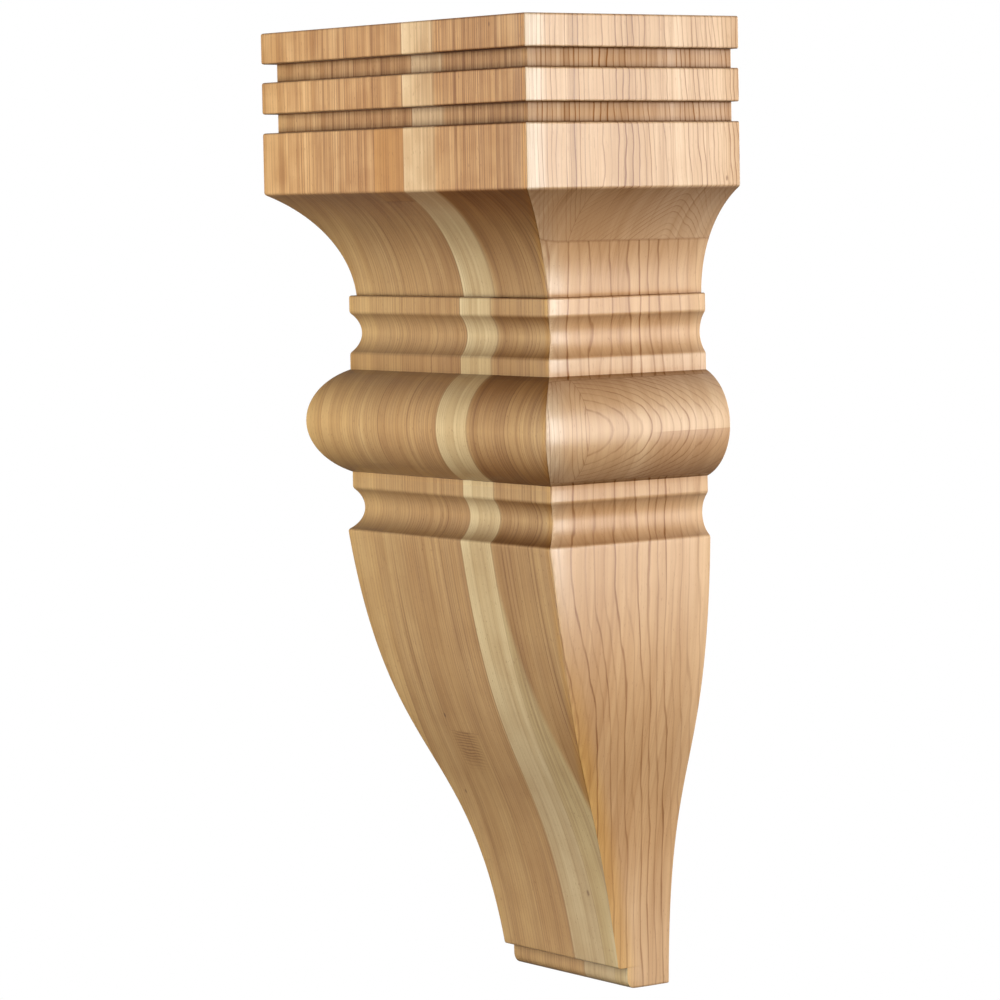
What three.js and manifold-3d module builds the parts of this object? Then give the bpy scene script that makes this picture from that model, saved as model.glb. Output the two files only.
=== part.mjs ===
// Baroque corbel of solid hardwood. From the top down it has three square bands, a wide hollow, a bead, a
// small cove, a full roll, a second cove and a long S-curved stem that narrows to a small foot. The mouldings
// run round the front and both sides and mitre at the two front corners. The back is one flat face.
// Millimetres, +Z up. The wall is the plane Y = 0, the front faces -Y, and the origin is the middle of the
// back.
import * as THREE from "three";
import { mergeVertices } from "three/addons/utils/BufferGeometryUtils.js";
import Module from "manifold-3d";

// Overall sizes of the block that the corbel is cut from
const height = 355.6;
const width = 165.1;
const depth = 95.25;

// Heights of the head's three bands and two square grooves, from the top down
const firstBand = 11.6;
const firstGroove = 6.8;
const secondBand = 11.9;
const secondGroove = 7.0;
const thirdBand = 23.0;
const grooveDepth = 4.2;

// Heights of the mouldings under the head, from the top down. The stem takes the rest of the height.
const hollowHeight = 38.3;
const beadHeight = 6.5;
const upperCoveHeight = 15.1;
const upperCoveDepth = 3.3;
const upperFilletHeight = 6.2;
const rollHeight = 38.6;
const lowerFilletHeight = 6.1;
const lowerCoveHeight = 15.7;
const lowerCoveDepth = 3.9;

// Foot: its size where the S-curve ends, and the shallow rebate that crosses it on the front only
const footWidth = 70.7;
const footDepth = 23.75;
const rebateHeight = 8.2;
const rebateDepth = 4.2;
const footRound = 4.5;

// How much the sanded edges are eased, and how far a straight facet may stray from the true curve
const arrisEase = 1.3;
const facetError = 0.04;
const stemFacets = 24;

// Set-backs of each face's mouldings, measured in from the head's own face. hollowDepth is how far the wide
// hollow is cut below a straight line between its ends, and rollProud how far the roll stands out of the
// neck. The stem's S-curve leans in by so many degrees at its two ends, and each end pulls on its share of
// the stem's height.
const frontFace = {
  reach: depth,
  hollowFoot: 25.6,
  hollowDepth: 5.4,
  neck: 23.6,
  rollProud: 11.8,
  stemTop: 21.8,
  stemFoot: depth - footDepth,
  stemLean: [9, 10],
  stemPull: [0.58, 0.5],
};
const sideFace = {
  reach: width / 2,
  hollowFoot: 22.5,
  hollowDepth: 6,
  neck: 20.4,
  rollProud: 13.1,
  stemTop: 19.3,
  stemFoot: (width - footWidth) / 2,
  stemLean: [2.3, 1.2],
  stemPull: [0.54, 0.54],
};

// How many facets a bend needs
function facetCount(radius, angle) {
  const facetAngle = 2 * Math.acos(1 - facetError / radius);
  return Math.ceil(Math.abs(angle) / facetAngle);
}

// Takes a length off the end of a line of points. The eases at the two ends of a short line never meet.
const largestCut = 0.45;

function cutEnd(points, length) {
  const steps = points.slice(1).map((point, i) => point.distanceTo(points[i]));
  const total = steps.reduce((sum, step) => sum + step, 0);
  let left = Math.min(length, largestCut * total);
  const kept = [...points];
  while (left > 0) {
    const end = kept.pop();
    const step = end.distanceTo(kept.at(-1));
    if (step > left) kept.push(end.clone().lerp(kept.at(-1), left / step));
    left -= step;
  }
  return kept;
}

// Draws a moulding's outline as straight runs and arcs. x is the set-back, and y is the drop below the top.
// Each run may ease the corner at its own end.
class OutlinePen {
  constructor(setBack) {
    this.at = new THREE.Vector2(setBack, 0);
    this.runs = [];
  }

  add(points, ease) {
    this.runs.push({ points, ease });
    this.at = points.at(-1).clone();
  }

  line(setBack, drop, ease = 0) {
    const end = new THREE.Vector2(setBack, this.at.y + drop);
    this.add([this.at.clone(), end], ease);
  }

  // An arc to a point. A positive depth cuts a hollow into the wood, and a negative one leaves a round.
  arc(setBack, drop, depthOfArc, ease = 0) {
    const start = this.at;
    const end = new THREE.Vector2(setBack, start.y + drop);
    const chord = end.clone().sub(start);
    const radius = (chord.lengthSq() / 4 + depthOfArc ** 2) / (2 * Math.abs(depthOfArc));
    const turn = Math.sign(depthOfArc);
    const outward = new THREE.Vector2(-chord.y, chord.x).normalize();
    const toCentre = outward.multiplyScalar(turn * radius - depthOfArc);
    const centre = start.clone().lerp(end, 0.5).add(toCentre);
    const fromAngle = start.clone().sub(centre).angle();
    let toAngle = end.clone().sub(centre).angle();
    if (turn > 0 && toAngle < fromAngle) toAngle += 2 * Math.PI;
    if (turn < 0 && toAngle > fromAngle) toAngle -= 2 * Math.PI;
    const curve = new THREE.EllipseCurve(
      centre.x, centre.y, radius, radius, fromAngle, toAngle, turn < 0,
    );
    this.add(curve.getPoints(facetCount(radius, toAngle - fromAngle)), ease);
  }

  // The stem's S-curve, from its top to the foot
  stem(drop, face, ease) {
    const [topLean, footLean] = face.stemLean.map(THREE.MathUtils.degToRad);
    const [topPull, footPull] = face.stemPull.map((share) => share * drop);
    const top = this.at.clone();
    const foot = new THREE.Vector2(face.stemFoot, top.y + drop);
    const underTop = new THREE.Vector2(topPull * Math.tan(topLean), topPull).add(top);
    const overFoot = foot.clone().sub(new THREE.Vector2(footPull * Math.tan(footLean), footPull));
    const curve = new THREE.CubicBezierCurve(top, underTop, overFoot, foot);
    this.add(curve.getPoints(stemFacets), ease);
  }

  // All the runs as one list of points, with each eased corner cut back and rounded
  points() {
    const outline = [];
    let startCut = 0;
    for (const { points, ease } of this.runs) {
      const fromStart = cutEnd([...points].reverse(), startCut).reverse();
      const kept = cutEnd(fromStart, ease);
      if (startCut > 0) {
        const rounding = new THREE.QuadraticBezierCurve(outline.at(-1), points[0], kept[0]);
        const facets = facetCount(startCut, Math.PI / 2);
        outline.push(...rounding.getPoints(facets).slice(1));
      }
      outline.push(...kept.slice(outline.length > 0 ? 1 : 0));
      startCut = ease;
    }
    return outline;
  }
}

// The outline that front and sides share, from the middle of the top down to the top of the stem
function headOutline(face) {
  const pen = new OutlinePen(face.reach);
  pen.line(0, 0, arrisEase);
  pen.line(0, firstBand, arrisEase);
  pen.line(grooveDepth, 0);
  pen.line(grooveDepth, firstGroove);
  pen.line(0, 0, arrisEase);
  pen.line(0, secondBand, arrisEase);
  pen.line(grooveDepth, 0);
  pen.line(grooveDepth, secondGroove);
  pen.line(0, 0, arrisEase);
  pen.line(0, thirdBand, arrisEase);
  pen.arc(face.hollowFoot, hollowHeight, face.hollowDepth);
  pen.line(face.neck, 0, arrisEase);
  pen.line(face.neck, beadHeight, arrisEase);
  pen.arc(face.neck, upperCoveHeight, upperCoveDepth, arrisEase);
  pen.line(face.neck, upperFilletHeight);
  pen.arc(face.neck, rollHeight, -face.rollProud);
  pen.line(face.neck, lowerFilletHeight, arrisEase);
  pen.arc(face.stemTop, lowerCoveHeight, lowerCoveDepth, arrisEase);
  return pen;
}

// The front's outline ends in the rebate, with a well rounded edge under it.
function frontOutline() {
  const pen = headOutline(frontFace);
  pen.stem(height - pen.at.y - rebateHeight, frontFace, arrisEase);
  pen.line(pen.at.x + rebateDepth, 0);
  pen.line(pen.at.x, rebateHeight, footRound);
  pen.line(frontFace.reach, 0);
  return pen.points();
}

// The side's outline runs straight down to the foot.
function sideOutline() {
  const pen = headOutline(sideFace);
  pen.stem(height - pen.at.y, sideFace, arrisEase);
  pen.line(sideFace.reach, 0);
  return pen.points();
}

// A closed geometry as a solid that can be cut
const wasm = await Module();
wasm.setup();

function toSolid(geometry) {
  geometry.deleteAttribute("normal");
  geometry.deleteAttribute("uv");
  const merged = mergeVertices(geometry);
  const mesh = new wasm.Mesh({
    numProp: 3,
    vertProperties: merged.getAttribute("position").array,
    triVerts: new Uint32Array(merged.index.array),
  });
  return new wasm.Manifold(mesh);
}

// A bar of one outline, run along its local Z for the given length and then turned into its place. It is
// milled over length at both ends, so that it never ends on a face of the other bar.
const millOverrun = 5;

function mouldedBar(points, length, basis) {
  const bar = new THREE.ExtrudeGeometry(new THREE.Shape(points), {
    depth: length + 2 * millOverrun,
    bevelEnabled: false,
  });
  bar.translate(0, 0, -millOverrun);
  bar.applyMatrix4(new THREE.Matrix4().makeBasis(...basis));
  return bar;
}

// The front's outline runs from end to end along X.
function frontBar() {
  const points = frontOutline().map((p) => new THREE.Vector2(p.x - depth, height / 2 - p.y));
  const basis = [
    new THREE.Vector3(0, 1, 0),
    new THREE.Vector3(0, 0, 1),
    new THREE.Vector3(1, 0, 0),
  ];
  return mouldedBar(points, width, basis).translate(-width / 2, 0, 0);
}

// The sides' outline and its mirror image run from the wall to the front along Y.
function sideBar() {
  const right = sideOutline().map((p) => new THREE.Vector2(width / 2 - p.x, height / 2 - p.y));
  const left = right.slice(1, -1).reverse().map((p) => new THREE.Vector2(-p.x, p.y));
  const basis = [
    new THREE.Vector3(1, 0, 0),
    new THREE.Vector3(0, 0, 1),
    new THREE.Vector3(0, -1, 0),
  ];
  return mouldedBar([...right, ...left], depth, basis);
}

// The corbel is what the two bars have in common, so their mouldings meet in true mitres.
function corbelMesh() {
  const solid = toSolid(frontBar()).intersect(toSolid(sideBar()));
  const { vertProperties, triVerts } = solid.getMesh();
  const geometry = new THREE.BufferGeometry();
  geometry.setAttribute("position", new THREE.BufferAttribute(vertProperties, 3));
  geometry.setIndex(new THREE.BufferAttribute(triVerts, 1));
  const wood = new THREE.MeshStandardMaterial({
    color: 0xd3a574,
    roughness: 0.5,
    metalness: 0,
    flatShading: true,
  });
  const mesh = new THREE.Mesh(geometry, wood);
  mesh.name = "corbel";
  return mesh;
}

const corbel = new THREE.Group();
corbel.add(corbelMesh());

export default corbel;
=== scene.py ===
import math

import bpy
import numpy as np
from mathutils import Matrix, Vector


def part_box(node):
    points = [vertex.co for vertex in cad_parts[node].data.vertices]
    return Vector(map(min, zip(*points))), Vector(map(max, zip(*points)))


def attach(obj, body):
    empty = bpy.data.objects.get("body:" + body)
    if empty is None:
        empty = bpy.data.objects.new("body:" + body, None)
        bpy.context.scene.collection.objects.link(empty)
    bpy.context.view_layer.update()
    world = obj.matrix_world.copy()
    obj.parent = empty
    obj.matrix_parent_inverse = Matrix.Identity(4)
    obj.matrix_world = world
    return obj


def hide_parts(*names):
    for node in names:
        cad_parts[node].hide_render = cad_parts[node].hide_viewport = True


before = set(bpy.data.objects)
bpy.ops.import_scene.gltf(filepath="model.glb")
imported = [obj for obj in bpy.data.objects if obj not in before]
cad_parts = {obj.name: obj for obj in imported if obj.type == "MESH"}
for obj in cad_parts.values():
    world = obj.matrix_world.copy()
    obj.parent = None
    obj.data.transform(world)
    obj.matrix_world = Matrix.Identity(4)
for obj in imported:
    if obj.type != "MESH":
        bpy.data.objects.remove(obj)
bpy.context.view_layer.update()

# Camera. It stands almost a metre and a half from the corbel, to its right and a little above its middle. It
# leans one degree to the side.
camera_turn = math.radians(53.3255)
camera_rise = math.radians(4.2935)
camera_lean = math.radians(-1.0391)
camera_aim = Vector((0.01525, -0.05953, 0.00509))
camera_distance = 1.44117
lens_length, film_width = 142.54, 36

camera = bpy.data.objects.new("camera", bpy.data.cameras.new("camera"))
camera.data.lens = lens_length
camera.data.sensor_width = film_width
bpy.context.collection.objects.link(camera)
aimed = (
    Matrix.Rotation(camera_turn, 4, "Z")
    @ Matrix.Rotation(math.pi / 2 - camera_rise, 4, "X")
    @ Matrix.Rotation(camera_lean, 4, "Z")
)
back_from_aim = (aimed @ Vector((0, 0, 1))).normalized()
camera.matrix_world = Matrix.Translation(camera_aim + back_from_aim * camera_distance) @ aimed
bpy.context.scene.camera = camera
bpy.context.scene.view_settings.view_transform = "Standard"

# Corbel. It is one block of hardwood, glued up from upright boards that stand side by side. The mouldings
# are cut round its front and both sides and mitred at the corners. The flat back is fixed to a wall, and the
# top carries a shelf. Sizes are in millimetres.
lowest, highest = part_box("corbel")
width, depth, height = (1000 * (top - bottom) for bottom, top in zip(lowest, highest))

first_band, first_groove, second_band, second_groove, third_band = 11.6, 6.8, 11.9, 7.0, 23.0
groove_depth = 4.2
hollow_height, bead_height = 38.3, 6.5
upper_cove_height, upper_cove_depth, upper_fillet_height = 15.1, 3.3, 6.2
roll_height = 38.6
lower_fillet_height, lower_cove_height, lower_cove_depth = 6.1, 15.7, 3.9
foot_width, foot_depth = 70.7, 23.75
rebate_height, rebate_depth, foot_round = 8.2, 4.2, 4.5
arris_ease = 0.9

# Set-backs of the mouldings from the head's own faces: first the front's, then the sides'
hollow_foot = np.array([25.6, 22.5])
hollow_depth = np.array([5.4, 6.0])
neck = np.array([23.6, 20.4])
roll_proud = np.array([11.8, 13.1])
stem_top = np.array([21.8, 19.3])
stem_foot = np.array([depth - foot_depth, (width - foot_width) / 2])
stem_lean = np.radians([[9, 10], [2.3, 1.2]])
stem_pull = np.array([[0.58, 0.5], [0.54, 0.54]])

# A run of the outline is a list of rows, from the top down. Each row holds the front's set-back, the sides'
# set-back and the drop below the top, so one pen draws both outlines at the same heights.
straight_shares = np.array([0, 0.04, 0.35, 0.65, 0.96, 1])
arc_steps, stem_steps, foot_steps, rounding_steps = 44, 60, 24, 7


def straight_run(start, end):
    return start + (end - start) * straight_shares[:, None]


def arc_set_back(start, end, depth_of_arc, drops):
    """Set-backs along an arc. A positive depth cuts a hollow, and a negative one leaves a round."""
    run = end - start
    length = np.hypot(*run)
    radius = (length**2 / 4 + depth_of_arc**2) / (2 * abs(depth_of_arc))
    turn = np.sign(depth_of_arc)
    outward = np.array([-run[1], run[0]]) / length
    centre = (start + end) / 2 + outward * (turn * radius - depth_of_arc)
    return centre[0] + turn * np.sqrt(np.maximum(radius**2 - (drops - centre[1]) ** 2, 0))


def arc_run(start, end, depths):
    """An arc on the front and one on the sides, with closer rows towards both ends."""
    half_turn = np.linspace(0, math.pi, arc_steps + 1)
    drops = start[2] + (end[2] - start[2]) * (1 - np.cos(half_turn)) / 2
    columns = [arc_set_back(start[[side, 2]], end[[side, 2]], depths[side], drops) for side in (0, 1)]
    return np.column_stack([*columns, drops])


fine_share = np.linspace(0, 1, 4001)[:, None]


def stem_run(start, drop_of_rows):
    """The stem's S-curves. The sides' one is longer, because only the front has a rebate at the foot."""
    columns = []
    for side, last_drop in enumerate((height - rebate_height, height)):
        fall = last_drop - start[2]
        leans, pulls = np.tan(stem_lean[side]), stem_pull[side] * fall
        curve = np.array([
            [start[side], start[2]],
            [start[side] + pulls[0] * leans[0], start[2] + pulls[0]],
            [stem_foot[side] - pulls[1] * leans[1], last_drop - pulls[1]],
            [stem_foot[side], last_drop],
        ])
        path = (
            (1 - fine_share) ** 3 * curve[0]
            + 3 * (1 - fine_share) ** 2 * fine_share * curve[1]
            + 3 * (1 - fine_share) * fine_share**2 * curve[2]
            + fine_share**3 * curve[3]
        )
        columns.append(np.interp(drop_of_rows, path[:, 1], path[:, 0]))
    return np.column_stack([*columns, drop_of_rows])


largest_cut = 0.45
hair = 1e-6


def cut_end(rows, cut):
    """Takes a length off the end of a run, but never more than a share of it."""
    moves = np.diff(rows, axis=0)
    steps = np.hypot(np.abs(moves[:, :2]).max(axis=1), moves[:, 2])
    along = np.concatenate([[0], np.cumsum(steps)])
    stop = along[-1] - min(cut, largest_cut * along[-1])
    kept = along < stop - hair
    last = [np.interp(stop, along, rows[:, column]) for column in range(3)]
    return np.vstack([rows[kept], last])


def eased_outline(runs):
    """All the runs as one list of rows, with each eased corner cut back and rounded."""
    outline = []
    cut_before, corner = 0, None
    for rows, ease in runs:
        kept = cut_end(rows[::-1], cut_before)[::-1] if cut_before else rows
        kept = cut_end(kept, ease) if ease else kept
        if cut_before:
            share = np.linspace(0, 1, rounding_steps + 1)[1:-1, None]
            bend_start, bend_end = outline[-1], kept[0]
            rounding = (
                (1 - share) ** 2 * bend_start
                + 2 * (1 - share) * share * corner
                + share**2 * bend_end
            )
            outline.extend(rounding)
        if outline and np.allclose(outline[-1], kept[0]):
            kept = kept[1:]
        outline.extend(kept)
        cut_before, corner = ease, rows[-1]
    return np.array(outline)


# The outline starts on the flat top, a little in from the head's faces
top_inset = 20.0
runs = []
at = np.array([top_inset, top_inset, 0.0])


def draw_line(set_backs, drop, ease=0):
    global at
    end = np.array([*np.broadcast_to(set_backs, 2), at[2] + drop], dtype=float)
    runs.append((straight_run(at, end), ease))
    at = end


def draw_arc(set_backs, drop, depths, ease=0):
    global at
    end = np.array([*np.broadcast_to(set_backs, 2), at[2] + drop], dtype=float)
    runs.append((arc_run(at, end, np.broadcast_to(depths, 2)), ease))
    at = end


draw_line(0, 0, arris_ease)
draw_line(0, first_band, arris_ease)
draw_line(groove_depth, 0)
draw_line(groove_depth, first_groove)
draw_line(0, 0, arris_ease)
draw_line(0, second_band, arris_ease)
draw_line(groove_depth, 0)
draw_line(groove_depth, second_groove)
draw_line(0, 0, arris_ease)
draw_line(0, third_band, arris_ease)
draw_arc(hollow_foot, hollow_height, hollow_depth)
draw_line(neck, 0, arris_ease)
draw_line(neck, bead_height, arris_ease)
draw_arc(neck, upper_cove_height, upper_cove_depth, arris_ease)
draw_line(neck, upper_fillet_height)
draw_arc(neck, roll_height, -roll_proud)
draw_line(neck, lower_fillet_height, arris_ease)
draw_arc(stem_top, lower_cove_height, lower_cove_depth, arris_ease)
stem_drops = np.linspace(at[2], height - rebate_height, stem_steps + 1)
runs.append((stem_run(at, stem_drops), arris_ease))
at = runs[-1][0][-1]
draw_line([at[0] + rebate_depth, at[1]], 0)

# The foot's last few millimetres: the front has a wide round at its bottom edge, and the sides a small one
foot_start = at
rounding_share = np.linspace(0, 1, foot_steps + 1)
foot_drops = height - foot_round * (1 - rounding_share) ** 2
upright_drops = np.linspace(foot_start[2], foot_drops[0], 6)[:-1]
foot_drops = np.concatenate([upright_drops, foot_drops])
foot_rows = stem_run(runs[-2][0][0], foot_drops)
foot_rows[:, 0] = foot_start[0]
for side, round_size in enumerate((foot_round, arris_ease)):
    above_bottom = np.minimum((height - foot_drops) / round_size, 1)
    foot_rows[:, side] += round_size * (1 - np.sqrt(above_bottom)) ** 2
runs.append((foot_rows, 0))
outline = eased_outline(runs)

# Every row is a level ring round the block. Its front corners are eased and its back ones barely so. Sanding
# has turned the last few millimetres of each side in towards the front corner.
front_corner, back_corner = 0.6, 0.4
sanded_reach, sanded_fall = 9.0, 0.5
face_steps, sanded_steps, back_steps, front_steps = 8, 8, 4, 7


def corner_points(middle_x, middle_y, size, angles):
    angles = np.radians(angles)[:, None]
    return np.array([middle_x, middle_y]) + size * np.hstack([np.cos(angles), np.sin(angles)])


def even_points(start, end, steps):
    return np.linspace(start, end, steps + 1)[1:-1]


def level_ring(front, side, drop):
    half, face = width / 2 - side, front - depth
    sanded = np.linspace(0, 1, sanded_steps + 1)[:, None]
    sanded_start = np.array([half, face + front_corner + sanded_reach])
    sanded_side = sanded_start - sanded * [0, sanded_reach] - sanded**2 * [sanded_fall, 0]
    last_turn = np.degrees(math.atan(2 * sanded_fall / sanded_reach))
    back_turn = np.linspace(90, 0, back_steps + 1)
    back_arc = corner_points(half - back_corner, -back_corner, back_corner, back_turn)
    front_turn = np.linspace(-last_turn, -90, front_steps + 1)
    front_x = half - sanded_fall - front_corner
    front_arc = corner_points(front_x, face + front_corner, front_corner, front_turn)
    right = np.vstack([
        [0, 0],
        even_points([0, 0], back_arc[0], face_steps),
        back_arc,
        even_points(back_arc[-1], sanded_side[0], face_steps),
        sanded_side,
        front_arc[1:],
        even_points(front_arc[-1], [0, face], face_steps),
        [0, face],
    ])
    ring = np.vstack([right, right[-2:0:-1] * [-1, 1]])
    return [(x / 1000, y / 1000, (height / 2 - drop) / 1000) for x, y in ring]


rings = [level_ring(*row) for row in outline]
around = len(rings[0])
vertices = [point for ring in rings for point in ring]
faces = [list(reversed(range(around)))]
for row in range(len(rings) - 1):
    for step in range(around):
        following = (step + 1) % around
        upper, lower = row * around, (row + 1) * around
        faces.append([upper + step, upper + following, lower + following, lower + step])
faces.append(list(range((len(rings) - 1) * around, len(rings) * around)))

sharpest_bend = math.radians(38)
corbel_mesh = bpy.data.meshes.new("carved_corbel")
corbel_mesh.from_pydata(vertices, [], faces)
corbel_mesh.shade_smooth()
corbel_mesh.set_sharp_from_angle(angle=sharpest_bend)

# How far each row is shut in by what stands proud just above and below it. It sets the painted shade in the
# grooves and corners, and how much less the varnish shines there. The back, the top and the underside are
# plain.
shelter_reach, least_fall, least_proud = 20.0, 0.05, 0.02


def shut_in(row, side):
    shares = []
    for way in (-1, 1):
        fall = (outline[:, 2] - outline[row, 2]) * way
        proud = outline[row, side] - outline[:, side]
        hides = (fall > least_fall) & (fall < shelter_reach) & (proud > least_proud)
        open_angle = np.arctan2(fall[hides], proud[hides]).min(initial=math.pi / 2)
        shares.append(open_angle / 2 + math.sin(2 * open_angle) / 4)
    return 1 - sum(shares) / (math.pi / 2)


places = np.array(rings)
face_level = places[:, :, 1].min(axis=1)[:, None]
front_point = places[:, :, 1] < face_level + front_corner / 4000
corner_point = (places[:, :, 1] < face_level + front_corner / 1000) & ~front_point
back_point = places[:, :, 1] > -back_corner / 2000
end_margin = 0.01
flat_row = (outline[:, 2] < end_margin) | (outline[:, 2] > height - end_margin)
shelter_of_rows = np.array([[shut_in(row, side) for side in (0, 1)] for row in range(len(outline))])
shelter_of_points = np.where(front_point, shelter_of_rows[:, :1], shelter_of_rows[:, 1:])
shelter_of_points[back_point] = 0
shelter_of_points[flat_row] = 0

# How far each point is from the front corner, in towards the middle of the front and back along the side.
# The foot's rebate doesn't break the side's measure.
from_edge = 1000 * (places[:, :, 0].max(axis=1)[:, None] - np.abs(places[:, :, 0]))
below_stem = outline[:, 2] > height - rebate_height - arris_ease
stem_level = np.where(below_stem[:, None], face_level[below_stem][0], face_level)
from_front = 1000 * (places[:, :, 1] - stem_level)
layers = {
    "sheltered": shelter_of_points,
    "painted_corner_highlight": corner_point,
    "from_edge": from_edge,
    "from_front": from_front,
}
for name, values in layers.items():
    layer = corbel_mesh.attributes.new(name, "FLOAT", "POINT")
    layer.data.foreach_set("value", values.astype(float).ravel())

corbel = bpy.data.objects.new("carved_corbel", corbel_mesh)
bpy.context.collection.objects.link(corbel)

# Its wood is a pale, close-grained hardwood under a thin satin varnish. Each board keeps the growth rings of
# the tree that it was sawn from, so the lines run straight on flat faces and turn into ovals on the roll.
hardwood = bpy.data.materials.new("satin_varnished_hardwood")
hardwood.use_nodes = True
nodes, links = hardwood.node_tree.nodes, hardwood.node_tree.links
nodes.clear()


def feed(socket, value):
    """Links a node's result to a socket, or sets a plain value on it."""
    if isinstance(value, bpy.types.NodeSocket):
        links.new(value, socket)
    else:
        socket.default_value = value


def reckon(operation, *values, clamp=False):
    node = nodes.new("ShaderNodeMath")
    node.operation = operation
    node.use_clamp = clamp
    for socket, value in zip(node.inputs, values):
        feed(socket, value)
    return node.outputs[0]


def total(*values):
    result = values[0]
    for value in values[1:]:
        result = reckon("ADD", result, value)
    return result


def times(*values):
    result = values[0]
    for value in values[1:]:
        result = reckon("MULTIPLY", result, value)
    return result


def less(value, taken):
    return reckon("SUBTRACT", value, taken)


def unsigned(value):
    return reckon("ABSOLUTE", value)


def distance(along_x, along_y):
    squares = [reckon("POWER", unsigned(along), 2.0) for along in (along_x, along_y)]
    return reckon("SQRT", total(*squares))


def between(value, low, high, to_low=0.0, to_high=1.0, smooth=False):
    """Runs from to_low to to_high while the value goes from one limit to the other, and no further."""
    node = nodes.new("ShaderNodeMapRange")
    node.interpolation_type = "SMOOTHSTEP" if smooth else "LINEAR"
    names = ("Value", "From Min", "From Max", "To Min", "To Max")
    for name, setting in zip(names, (value, low, high, to_low, to_high)):
        feed(node.inputs[name], setting)
    return node.outputs["Result"]


def mixed(share, first, second):
    """The first value where the share is 0, and the second where it is 1."""
    return reckon("MULTIPLY_ADD", share, less(second, first), first)


def place(along_x, along_y, along_z):
    node = nodes.new("ShaderNodeCombineXYZ")
    for socket, value in zip(node.inputs, (along_x, along_y, along_z)):
        feed(socket, value)
    return node.outputs[0]


def apart(value):
    node = nodes.new("ShaderNodeSeparateXYZ")
    feed(node.inputs[0], value)
    return node.outputs


def painted(name):
    """Reads one of the layers that are stored on the mesh."""
    node = nodes.new("ShaderNodeAttribute")
    node.attribute_name = name
    return node.outputs["Fac"]


def cloud(spot, stretch, detail=2.0, roughness=0.5):
    """Soft noise from 0 to 1. The stretch is how many millimetres one blotch measures along X, Y and Z."""
    scaled = nodes.new("ShaderNodeVectorMath")
    scaled.operation = "DIVIDE"
    feed(scaled.inputs[0], spot)
    scaled.inputs[1].default_value = stretch
    noise = nodes.new("ShaderNodeTexNoise")
    noise.inputs["Scale"].default_value = 1
    noise.inputs["Detail"].default_value = detail
    noise.inputs["Roughness"].default_value = roughness
    feed(noise.inputs["Vector"], scaled.outputs[0])
    return noise.outputs[0]


def ramp(factor, stops, steps=False):
    node = nodes.new("ShaderNodeValToRGB")
    node.color_ramp.interpolation = "CONSTANT" if steps else "LINEAR"
    elements = node.color_ramp.elements
    while len(elements) < len(stops):
        elements.new(0.5)
    for element, (position, _) in zip(elements, stops):
        element.position = position
    for element, (_, shade) in zip(elements, stops):
        element.color = (*shade, 1)
    feed(node.inputs[0], factor)
    return node.outputs["Color"]


def tinted(shade, factor, tint):
    """Multiplies a colour by a tint, as far as the factor says."""
    node = nodes.new("ShaderNodeMix")
    node.data_type = "RGBA"
    node.blend_type = "MULTIPLY"
    feed(node.inputs["Factor"], factor)
    first_colour, second_colour, mixed_colour = node.inputs[6], node.inputs[7], node.outputs[2]
    feed(first_colour, shade)
    feed(second_colour, (*tint, 1))
    return mixed_colour


# Where a point is, in millimetres, and which face it is on. The back and the flat ends count as neither
# front nor side, so they stay plain.
where = nodes.new("ShaderNodeTexCoord")
in_millimetres = nodes.new("ShaderNodeVectorMath")
in_millimetres.operation = "SCALE"
feed(in_millimetres.inputs[0], where.outputs["Object"])
in_millimetres.inputs["Scale"].default_value = 1000
x, y, z = apart(in_millimetres.outputs[0])
facing = nodes.new("ShaderNodeNewGeometry")
facing_x, facing_y, facing_z = apart(facing.outputs["Normal"])
end_face_level = height / 2 - 0.3
is_end_face = reckon("GREATER_THAN", unsigned(z), end_face_level)
on_side = reckon("GREATER_THAN", unsigned(facing_x), unsigned(facing_y))
on_front = times(less(1.0, on_side), reckon("LESS_THAN", facing_y, 0.5), less(1.0, is_end_face))


def by_face(front_value, side_value):
    """One number on the front and another on the sides."""
    return reckon("MULTIPLY_ADD", on_side, side_value - front_value, front_value)


def at_heights(low, high):
    return times(reckon("GREATER_THAN", z, low), reckon("LESS_THAN", z, high))


# Boards from left to right, then the second lengths of boards that are butted end to end. Each has the width
# of its rings on the front, how far they lean and how strong their lines are. Then come its tree's heart,
# with the width of the rings and the strength of their lines on the sides, and the board's tone.
glue_lines = [-64.8, -45.9, -27.5, -9.2, 9.2, 27.5, 64.8]
pale_board = 5
lengths = [
    ((1.9, 0.010, 0.40), (20, -170, 3.6, 0.80), (1.11, 1.15, 1.12)),
    ((1.7, 0.000, 0.45), (20, -170, 3.4, 0.85), (1.08, 1.10, 1.08)),
    ((1.5, -0.010, 0.60), (10, -180, 3.0, 0.85), (1.03, 1.04, 1.04)),
    ((1.4, 0.010, 0.65), (0, -200, 3.0, 0.85), (1.00, 0.98, 0.95)),
    ((1.5, 0.000, 0.60), (0, -200, 3.0, 0.85), (1.01, 1.00, 0.98)),
    ((2.2, 0.000, 0.25), (0, -200, 3.0, 0.40), (1.29, 1.61, 2.14)),
    ((2.3, 0.000, 0.80), (-17, -150, 3.7, 1.00), (0.98, 0.96, 0.92)),
    ((1.6, 0.000, 0.75), (20, -170, 3.6, 0.85), (1.01, 1.02, 1.03)),
    ((1.3, 0.000, 0.35), (0, -200, 3.0, 0.60), (0.90, 0.78, 0.55)),
    ((1.4, 0.010, 0.70), (0, -200, 3.0, 0.85), (0.98, 0.95, 0.92)),
    ((1.6, 0.015, 0.50), (0, -200, 3.0, 0.85), (0.97, 0.95, 0.91)),
]
# Each butt joint: which length it ends, its height in Z, and the length that starts below it
butt_joints = [(4, 141.0, 8), (8, 114.0, 9), (3, -84.0, 10)]
# A glue line is dark for its first tenth of a millimetre to either side, and has faded out by 0.3 mm
glue_core, glue_edge = 0.10, 0.30

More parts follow.
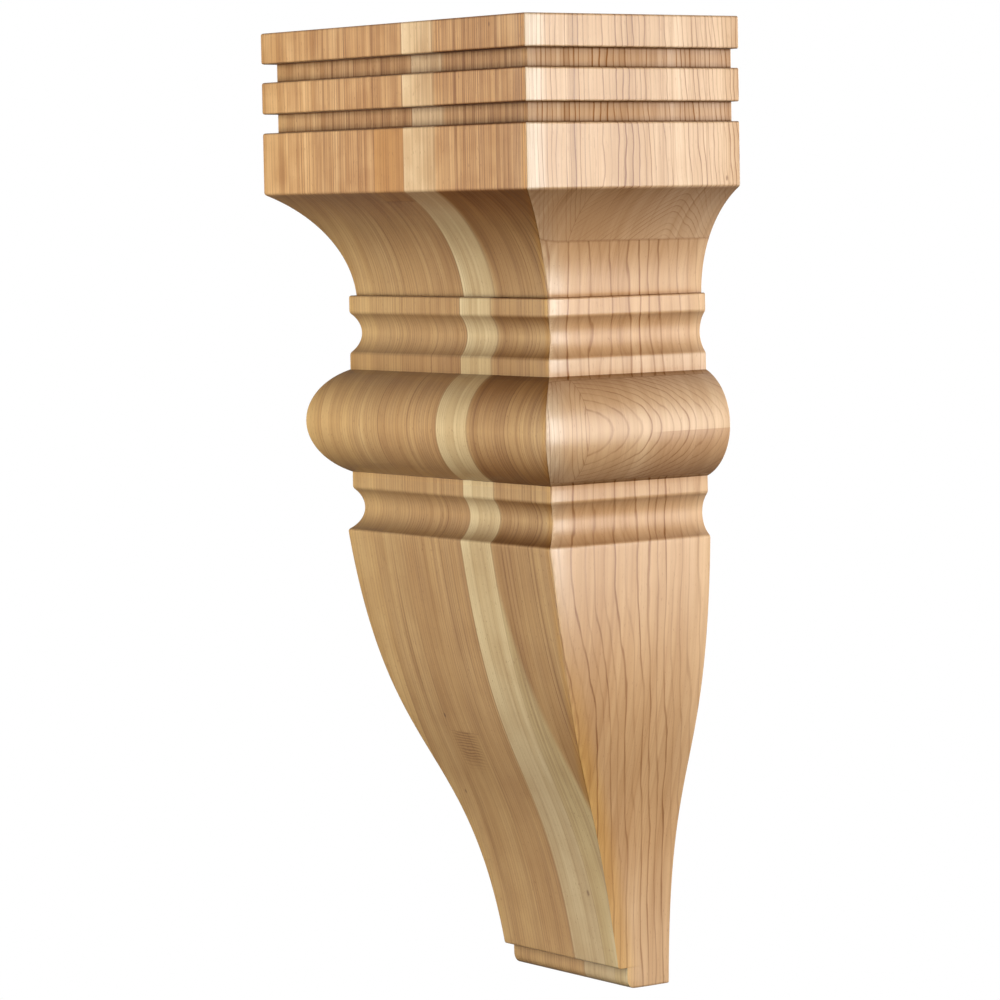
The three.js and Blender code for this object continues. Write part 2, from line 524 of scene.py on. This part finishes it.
length = total(*[reckon("GREATER_THAN", x, line) for line in glue_lines])
in_joint = 0.0
for upper, joint, lower in butt_joints:
    is_this = reckon("COMPARE", length, float(upper), 0.5)
    is_below = reckon("LESS_THAN", z, joint)
    near_joint = between(unsigned(less(z, joint)), glue_core, glue_edge, 1.0, 0.0)
    in_joint = reckon("MAXIMUM", in_joint, times(is_this, near_joint))
    length = reckon("MULTIPLY_ADD", times(is_this, is_below), float(lower - upper), length)
pick = reckon("DIVIDE", total(length, 0.5), float(len(lengths)))


def by_length(values, low, high):
    """Three numbers for each length of board, kept as a ramp's steps and read back in their own range."""
    stops = []
    for number, triple in enumerate(values):
        stops.append((number / len(values), [(value - low) / (high - low) for value in triple]))
    return [between(share, 0.0, 1.0, low, high) for share in apart(ramp(pick, stops, steps=True))]


front_width, front_lean, front_strength = by_length([front for front, _, _ in lengths], -1.0, 4.0)
heart_x, heart_y, side_width = by_length([side[:3] for _, side, _ in lengths], -250.0, 250.0)
side_strength = by_length([side[3:] * 3 for _, side, _ in lengths], 0.0, 1.0)[0]
tones = [(number / len(lengths), tone) for number, (_, _, tone) in enumerate(lengths)]
board_tone = ramp(pick, tones, steps=True)

# The grain is read across and into whichever face is seen, so its lines run unbroken down every moulding.
# Each length of board has a stretch of grain of its own.
grain_step = 37.0
across = mixed(on_side, x, y)
inward = mixed(on_side, y, x)
grain_spot = place(reckon("MULTIPLY_ADD", length, grain_step, across), inward, z)


def wander(stretch, most):
    """How far the grain strays to either side, in millimetres."""
    return times(less(cloud(grain_spot, stretch), 0.5), 2 * most)


# No trunk is a perfect round, so the rings wander a little along and across the grain
front_wander = total(wander((45, 90, 150), 2.2), wander((8, 60, 45), 0.5))
side_wander = total(
    wander((26, 60, 80), 4.5),
    wander((9, 40, 38), 2.2),
    wander((5, 40, 10), 0.3),
    wander((6, 60, 300), 1.5),
)
front_rings = reckon("DIVIDE", total(x, times(front_lean, z), front_wander), front_width)

# The inner boards' rings are cut almost square on the sides. Down the stem, near the front corner, the lines
# drift towards the wall.
drift_foot, drift_top, drift_reach, most_drift = -75.0, -8.0, 50.0, -9.0
stem_drift = times(
    between(z, drift_foot, drift_top, most_drift, 0.0, smooth=True),
    between(painted("from_front"), 0.0, drift_reach, 1.0, 0.0),
)
from_heart_y = total(less(y, heart_y), side_wander, stem_drift)
inner_rings = reckon("DIVIDE", distance(less(x, heart_x), from_heart_y), side_width)

# Each outer layer is two boards, glued edge to edge. The one by the wall was sawn flat to the rings, so its
# side shows ovals on the roll, a pointed arch in the wide hollow and closer, waving lines on the head.
outer_seam = -64.5
head_foot, hollow_end = 117.0, 60.0
on_head = reckon("GREATER_THAN", z, head_foot)
in_hollow = at_heights(hollow_end, head_foot)
head_lean = times(reckon("MAXIMUM", less(z, head_foot), 0.0), between(y, -75.0, -20.0, 0.0, 0.12))
outer_wander = total(side_wander, head_lean)

outer_heart_x, outer_heart_y, outer_width = 195.0, -80.0, 1.8
from_outer_heart = distance(less(outer_heart_x, unsigned(x)), total(y, -outer_heart_y, outer_wander))
wall_board_rings = reckon("DIVIDE", from_outer_heart, outer_width)
head_line_width = 5.0
head_lines = reckon("DIVIDE", total(y, wander((14, 40, 20), 3.4)), head_line_width)
wall_board_rings = total(wall_board_rings, times(head_lines, on_head))
arch_y, arch_round, arch_slope, arch_width = -22.0, 3.0, 0.8, 2.1
from_arch = distance(total(y, -arch_y, times(outer_wander, 0.6)), arch_round)
arch_rings = total(z, times(from_arch, arch_slope), times(outer_wander, 0.3))
wall_board_rings = mixed(in_hollow, wall_board_rings, reckon("DIVIDE", arch_rings, arch_width))

# The outer layer's front board has close upright lines
front_board_width, front_board_slant = 2.0, 0.72
front_board_rings = total(y, times(unsigned(x), front_board_slant), times(outer_wander, 0.5))
front_board_rings = reckon("DIVIDE", front_board_rings, front_board_width)
behind_seam = reckon("GREATER_THAN", y, outer_seam)
outer_rings = mixed(behind_seam, front_board_rings, wall_board_rings)
is_outer = reckon("GREATER_THAN", unsigned(x), glue_lines[-1])
side_rings = mixed(is_outer, inner_rings, outer_rings)

# Every ring ends in a thin dark line, bolder in some years than in others. The count starts high enough
# never to fall below nought.
first_ring = 500.0
ring_count = mixed(on_side, front_rings, side_rings)
season = reckon("FRACT", total(ring_count, first_ring))
ring_chance = nodes.new("ShaderNodeTexWhiteNoise")
ring_chance.noise_dimensions = "2D"
feed(ring_chance.inputs["Vector"], place(reckon("FLOOR", ring_count), length, 0.0))
ring_boldness = between(ring_chance.outputs["Value"], 0.0, 1.0, 0.20, 1.15)
dark_line = [(0.0, 0.05), (0.10, 0.0), (0.50, 0.05), (0.76, 0.16), (0.85, 1.0), (0.93, 1.0), (1.0, 0.05)]
late_wood = ramp(season, [(position, (share,) * 3) for position, share in dark_line])
in_outer_hollow = times(is_outer, on_side, in_hollow)
line_strength = times(
    mixed(on_side, front_strength, side_strength),
    by_face(1.0, 0.85),
    reckon("MULTIPLY_ADD", in_outer_hollow, -0.35, 1.0),
    reckon("MULTIPLY_ADD", times(on_side, on_head), 0.75, 1.0),
)
breaks = between(cloud(grain_spot, (5, 40, 60)), 0.3, 0.7, 0.50, 1.20)
line = reckon("MULTIPLY", times(late_wood, ring_boldness), times(line_strength, breaks), clamp=True)

# The wood's own colour, board by board. Right of the pale board the lower front is sapwood, whose edge runs
# aslant, and the ring lines are faint in it.
base_colour = (0.625, 0.352, 0.144)
sapwood_tint = (1.16, 1.45, 1.85)
line_tint = (0.49, 0.33, 0.19)
colour = tinted(board_tone, 1.0, base_colour)
sapwood_foot, sapwood_top, widest_sapwood = -118.0, -25.0, 47.0
sapwood_edge = between(z, sapwood_foot, sapwood_top, widest_sapwood, glue_lines[pale_board])
sapwood = between(less(sapwood_edge, total(x, front_wander)), -2.0, 2.0, smooth=True)
right_of_pale = reckon("GREATER_THAN", x, glue_lines[pale_board])
sapwood = times(sapwood, right_of_pale, on_front)
colour = tinted(colour, sapwood, sapwood_tint)
colour = tinted(colour, times(line, reckon("MULTIPLY_ADD", sapwood, -0.6, 1.0)), line_tint)

# Streaks and fibres along the grain, short flecks and soft mottling, mostly clearer on the head's bands
streak_tint = (0.76, 0.66, 0.54)
pale_streak_tint = (1.14, 1.22, 1.32)
fibre_tint = (0.52, 0.38, 0.27)
fleck_tint = (0.50, 0.36, 0.25)
bands_fade_foot, bands_fade_top = 108.0, 116.0
crispness = times(between(z, bands_fade_foot, bands_fade_top, 0.55, 1.0), by_face(1.0, 0.65))
streaks = between(cloud(grain_spot, (7, 50, 220)), 0.42, 0.66)
colour = tinted(colour, times(streaks, reckon("MULTIPLY_ADD", crispness, 0.35, 0.28)), streak_tint)
narrow_streaks = between(cloud(grain_spot, (2.2, 50, 260), 1.0), 0.48, 0.66)
colour = tinted(colour, times(narrow_streaks, crispness, 0.80), streak_tint)
pale_streaks = between(cloud(grain_spot, (4.0, 50, 300), 1.0), 0.52, 0.70)
colour = tinted(colour, times(pale_streaks, crispness), pale_streak_tint)
fibres = between(cloud(grain_spot, (0.72, 50, 110), 1.5, 0.6), 0.48, 0.62)
fibre_strength = times(
    between(cloud(grain_spot, (9, 50, 70), 1.0), 0.35, 0.62, 0.35, 1.0),
    by_face(1.0, 0.55),
    reckon("MULTIPLY_ADD", front_strength, 0.7, 0.3),
    crispness,
)
colour = tinted(colour, times(fibres, fibre_strength), fibre_tint)
flecks = between(cloud(grain_spot, (0.40, 0.40, 2.6), 1.0), 0.67, 0.76)
colour = tinted(colour, times(flecks, by_face(0.70, 0.35)), fleck_tint)
mottle = between(cloud(grain_spot, (14, 40, 16)), 0.38, 0.66)
mottle = times(mottle, between(z, bands_fade_foot, bands_fade_top, 0.42, 0.70), by_face(1.0, 0.4))
colour = tinted(colour, mottle, streak_tint)

# Under the joint in the stem's front, one board has a small patch of curly grain, which stayed rippled
curl_top, curl_foot, curl_from, curl_to, curl_pitch = -84.2, -100.0, -27.4, -10.5, 1.25
curl_tint = (0.58, 0.45, 0.32)
curl_bend = times(cloud(place(x, y, z), (14, 14, 9), 1.0), 5.0)
curl_wave = reckon("SINE", times(total(z, curl_bend), 2 * math.pi / curl_pitch))
curl = times(
    between(curl_wave, -0.2, 0.9),
    reckon("LESS_THAN", z, curl_top),
    between(z, curl_foot, curl_foot + 7.0),
    between(x, curl_from, curl_from + 4.0),
    between(x, curl_to - 4.0, curl_to, 1.0, 0.0),
    on_front,
)
colour = tinted(colour, curl, curl_tint)

# A few specks of gum, such as this wood has: the middle of each and how long it is
gum_specks = [
    ((61.8, -95.3, 174.7), 1.1),
    ((82.6, -6.3, 120.3), 1.2),
    ((25.3, -29.8, -141.7), 1.7),
    ((-34.1, -41.4, -109.0), 1.4),
    ((-27.0, -55.6, -78.0), 1.5),
]
speck_tint = (0.38, 0.25, 0.14)
speck = 0.0
for (speck_x, speck_y, speck_z), speck_length in gum_specks:
    off_z = times(less(z, speck_z), 0.5)
    off = distance(distance(less(x, speck_x), less(y, speck_y)), off_z)
    speck = reckon("MAXIMUM", speck, between(off, 0.25 * speck_length, 0.5 * speck_length, 0.8, 0.0))
colour = tinted(colour, speck, speck_tint)

# Where a moulding cuts across the fibres, their open ends have drunk more stain, most of all in the brown
# board on the right of the front.
end_grain_tint = (0.40, 0.33, 0.25)
brown_end_grain_tint = (0.50, 0.32, 0.15)
end_grain = times(
    reckon("POWER", unsigned(facing_z), 1.3),
    by_face(1.0, 0.78),
    reckon("MULTIPLY_ADD", is_end_face, -0.45, 1.0),
)
colour = tinted(colour, end_grain, end_grain_tint)
thirsty_ends = times(end_grain, right_of_pale, on_front, less(1.0, sapwood))
colour = tinted(colour, thirsty_ends, brown_end_grain_tint)

# Painted light and shade on the front: it is lighter at the head and darker from the head down. The pale
# board darkens lower down, the roll's front is paler, and the roll's underside has painted shade.
head_front_light_tint = (1.03, 1.07, 1.11)
lower_front_shade_tint = (0.83, 0.91, 0.87)
lower_pale_tint = (0.88, 0.86, 0.88)
roll_tint = (1.08, 1.07, 1.04)
roll_underside_shade_tint = (0.80, 0.72, 0.55)
fillet_front_shade_tint = (0.86, 0.80, 0.70)
roll_foot, roll_top, fillet_foot, fillet_top = 11.0, 50.0, 51.4, 57.6
lower_front_top = 105.0
shaded_lower_front = times(on_front, between(z, lower_front_top, head_foot, 1.0, 0.0))
colour = tinted(colour, shaded_lower_front, lower_front_shade_tint)
colour = tinted(colour, less(on_front, shaded_lower_front), head_front_light_tint)
is_pale = reckon("COMPARE", length, float(pale_board), 0.5)
lower_pale = times(is_pale, on_front, between(z, -110.0, -50.0, 1.0, 0.0))
colour = tinted(colour, lower_pale, lower_pale_tint)
roll_front = times(at_heights(roll_foot, roll_top), on_front)
colour = tinted(colour, roll_front, roll_tint)
# Painted shade where the roll's front faces down
facing_down = reckon("POWER", reckon("MAXIMUM", times(facing_z, -1.0), 0.0), 4.0)
colour = tinted(colour, times(roll_front, facing_down), roll_underside_shade_tint)
# Painted shade on the front of the fillet above the roll, with some darker stain
on_fillet = at_heights(fillet_foot, fillet_top)
colour = tinted(colour, times(on_fillet, on_front), fillet_front_shade_tint)

# The sides are paler, mostly towards the wall and at the foot, and the fillet has a painted highlight on
# them. The outer layer's wall board is browner below the middle of the roll.
side_tint = (0.96, 1.03, 1.22)
outer_side_tint = (1.01, 1.04, 1.08)
hollow_side_tint = (0.91, 0.88, 0.84)
by_wall_tint = (1.12, 1.22, 1.42)
fillet_side_highlight_tint = (1.06, 1.15, 1.33)
foot_side_tint = (1.07, 1.13, 1.25)
patch_tint = (0.80, 0.70, 0.60)
patch_top = 30.8
colour = tinted(colour, on_side, side_tint)
colour = tinted(colour, times(is_outer, on_side), outer_side_tint)
colour = tinted(colour, in_outer_hollow, hollow_side_tint)
by_wall = between(painted("from_front"), 20.0, 75.0, smooth=True)
colour = tinted(colour, times(by_wall, on_side), by_wall_tint)
# A painted highlight on the fillet of each side
colour = tinted(colour, times(on_fillet, on_side), fillet_side_highlight_tint)
foot_side = times(between(z, -150.0, -120.0, 1.0, 0.0), on_side)
colour = tinted(colour, foot_side, foot_side_tint)
patch = times(is_outer, on_side, reckon("LESS_THAN", z, patch_top))
patch = times(patch, between(total(y, outer_wander), -36.0, -28.0))
colour = tinted(colour, patch, patch_tint)

# The front corners have a painted highlight, and the sides a painted sheen beside them, brightest at the
# head.
# Lower down the corners have kept a strip of orange stain.
corner_highlight_tint = (1.18, 1.24, 1.30)
side_corner_sheen_tint = (1.25, 1.55, 2.10)
corner_orange = (1.12, 1.02, 0.55)
shelter = painted("sheltered")
front_strip = times(
    on_front,
    between(painted("from_edge"), 1.2, 4.5, 0.85, 0.0, smooth=True),
    between(x, -20.0, 20.0, 0.2, 1.0),
    less(1.0, sapwood),
)
colour = tinted(colour, front_strip, corner_orange)
side_strip = times(
    on_side,
    between(z, -85.0, -45.0, 1.0, 0.0),
    between(painted("from_front"), 2.0, 10.0, 0.7, 0.0, smooth=True),
)
colour = tinted(colour, side_strip, corner_orange)
# A painted sheen whitens each side beside the front corner, most on the head and least in the grooves
side_corner_sheen = times(
    on_side,
    between(painted("from_front"), 2.5, 10.0, 1.0, 0.0, smooth=True),
    between(z, -40.0, 0.0, 0.0, 0.5),
    between(z, bands_fade_foot, bands_fade_top, 1.0, 2.0),
    between(shelter, 0.02, 0.15, 1.0, 0.15),
)
colour = tinted(colour, side_corner_sheen, side_corner_sheen_tint)
# A painted highlight along the front corners' rounded edges
colour = tinted(colour, painted("painted_corner_highlight"), corner_highlight_tint)

# Painted shade in the grooves and coves, darkest in their inner corners
recess_shade_tint = (0.32, 0.31, 0.42)
side_recess_shade_tint = (0.52, 0.54, 0.98)
crevice_shadow_tint = (0.32, 0.20, 0.10)
most_side_recess_shade = 0.30
colour = tinted(colour, times(shelter, on_front), recess_shade_tint)
side_recess_shade = times(reckon("MINIMUM", shelter, most_side_recess_shade), on_side)
colour = tinted(colour, side_recess_shade, side_recess_shade_tint)
# Painted shadow lines in the innermost corners
colour = tinted(colour, between(shelter, 0.42, 0.50, 0.0, 0.8), crevice_shadow_tint)

# The glue lines show as thin brown threads, and so does the seam between the outer layer's two boards
glue_tint = (0.62, 0.50, 0.42)
far_off = 99.0
nearest_glue = far_off
for glue_line in glue_lines:
    nearest_glue = reckon("MINIMUM", nearest_glue, unsigned(less(x, glue_line)))
to_outer_seam = total(unsigned(less(y, outer_seam)), between(is_outer, 0.0, 1.0, far_off, 0.0))
nearest_glue = reckon("MINIMUM", nearest_glue, to_outer_seam)
glue = reckon("MAXIMUM", between(nearest_glue, glue_core, glue_edge, 1.0, 0.0), in_joint)
colour = tinted(colour, times(glue, 0.5), glue_tint)

# The varnish is thin and satin. The grooves and coves and the thirsty ends of the grain shine less, and the
# fibres and ring lines can be felt through it.
bump = nodes.new("ShaderNodeBump")
bump.inputs["Strength"].default_value = 0.12
bump.inputs["Distance"].default_value = 0.0003
feed(bump.inputs["Height"], less(times(fibres, -0.5), times(line, 0.5)))
gloss = reckon("SUBTRACT", 1.0, times(shelter, by_face(1.2, 4.5)), clamp=True)
gloss = reckon("MULTIPLY", gloss, reckon("MULTIPLY_ADD", thirsty_ends, -0.85, 1.0), clamp=True)
shader = nodes.new("ShaderNodeBsdfPrincipled")
feed(shader.inputs["Base Color"], colour)
feed(shader.inputs["Roughness"], between(cloud(grain_spot, (2, 20, 30)), 0.3, 0.7, 0.40, 0.50))
feed(shader.inputs["Coat Weight"], times(gloss, by_face(0.80, 0.50)))
feed(shader.inputs["Specular IOR Level"], times(gloss, by_face(0.50, 0.35)))
shader.inputs["Coat Roughness"].default_value = 0.29
feed(shader.inputs["Normal"], bump.outputs["Normal"])
output = nodes.new("ShaderNodeOutputMaterial")
links.new(shader.outputs["BSDF"], output.inputs["Surface"])
corbel_mesh.materials.append(hardwood)

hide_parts("corbel")
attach(corbel, "root")

# Floor. It is a pale studio floor, well below the corbel, because the corbel hangs on its wall face. It
# neither lights the corbel nor shows in its varnish.
floor_reach, floor_level = 2.5, -1.2
floor_corners = [(-1, -1), (1, -1), (1, 1), (-1, 1)]
floor_points = [(right * floor_reach, back * floor_reach, floor_level) for right, back in floor_corners]
floor_mesh = bpy.data.meshes.new("studio_floor")
floor_mesh.from_pydata(floor_points, [], [(0, 1, 2, 3)])
floor = bpy.data.objects.new("studio_floor", floor_mesh)
bpy.context.collection.objects.link(floor)
pale_floor = bpy.data.materials.new("pale_floor_paint")
pale_floor.use_nodes = True
paint = pale_floor.node_tree.nodes["Principled BSDF"].inputs
paint["Base Color"].default_value = (0.9, 0.9, 0.9, 1)
paint["Roughness"].default_value = 0.8
paint["Emission Color"].default_value = (1, 1, 1, 1)
paint["Emission Strength"].default_value = 0.6
floor_mesh.materials.append(pale_floor)
floor.visible_diffuse = False
floor.visible_glossy = False

# Light. The room looks white, but it gives only a dim light. A tall soft panel lights the front and a low
# one the foot. On the right, a tall panel and two narrow ones stand behind the wall face, so they glance
# along the side and whiten it near the front corner. The last one lights the back.
room = bpy.data.worlds.new("studio_room")
bpy.context.scene.world = room
room.use_nodes = True
room_nodes, room_links = room.node_tree.nodes, room.node_tree.links
room_nodes.clear()
seen_room = room_nodes.new("ShaderNodeBackground")
seen_room.inputs["Color"].default_value = (1, 1, 1, 1)
seen_room.inputs["Strength"].default_value = 1.0
lighting_room = room_nodes.new("ShaderNodeBackground")
lighting_room.inputs["Color"].default_value = (1, 1, 1, 1)
ray_way = room_nodes.new("ShaderNodeTexCoord")
ray_height = room_nodes.new("ShaderNodeSeparateXYZ")
room_links.new(ray_way.outputs["Generated"], ray_height.inputs[0])
room_glow = room_nodes.new("ShaderNodeMapRange")
dimmer_below = {"From Min": -0.6, "From Max": 0.2, "To Min": 0.08, "To Max": 0.16}
for name, value in dimmer_below.items():
    room_glow.inputs[name].default_value = value
room_links.new(ray_height.outputs["Z"], room_glow.inputs["Value"])
room_links.new(room_glow.outputs["Result"], lighting_room.inputs["Strength"])
ray = room_nodes.new("ShaderNodeLightPath")
chosen = room_nodes.new("ShaderNodeMixShader")
room_links.new(ray.outputs["Is Camera Ray"], chosen.inputs[0])
room_links.new(lighting_room.outputs[0], chosen.inputs[1])
room_links.new(seen_room.outputs[0], chosen.inputs[2])
room_output = room_nodes.new("ShaderNodeOutputWorld")
room_links.new(chosen.outputs[0], room_output.inputs["Surface"])


def light_panel(name, position, aim, across, upright, power):
    """A soft panel at a place, turned to a point. Sizes in metres and power in watts."""
    lamp = bpy.data.lights.new(name, "AREA")
    lamp.shape = "RECTANGLE"
    lamp.size, lamp.size_y, lamp.energy = across, upright, power
    panel = bpy.data.objects.new(name, lamp)
    panel.location = position
    panel.rotation_euler = (Vector(aim) - Vector(position)).to_track_quat("-Z", "Y").to_euler()
    panel.visible_camera = False
    bpy.context.collection.objects.link(panel)


light_panel("front_panel", (-0.35, -1.15, 0.10), (0, -0.08, 0.05), 0.5, 1.9, 18.6)
light_panel("low_panel", (-0.30, -0.95, -0.75), (0, -0.05, -0.05), 0.5, 0.4, 2.4)
light_panel("right_panel", (1.09, 0.15, 0.32), (0.08, -0.05, 0.0), 0.4, 2.0, 6.2)
light_panel("glancing_panel", (0.68, 0.40, 0.12), (0.08, -0.05, 0.04), 0.28, 0.8, 1.5)
light_panel("glancing_strip", (0.755, 0.32, 0.07), (0.08, -0.09, 0.04), 0.06, 0.6, 4.6)
light_panel("back_panel", (-0.45, 1.2, 0.3), (0, 0, 0), 0.8, 0.8, 12.0)
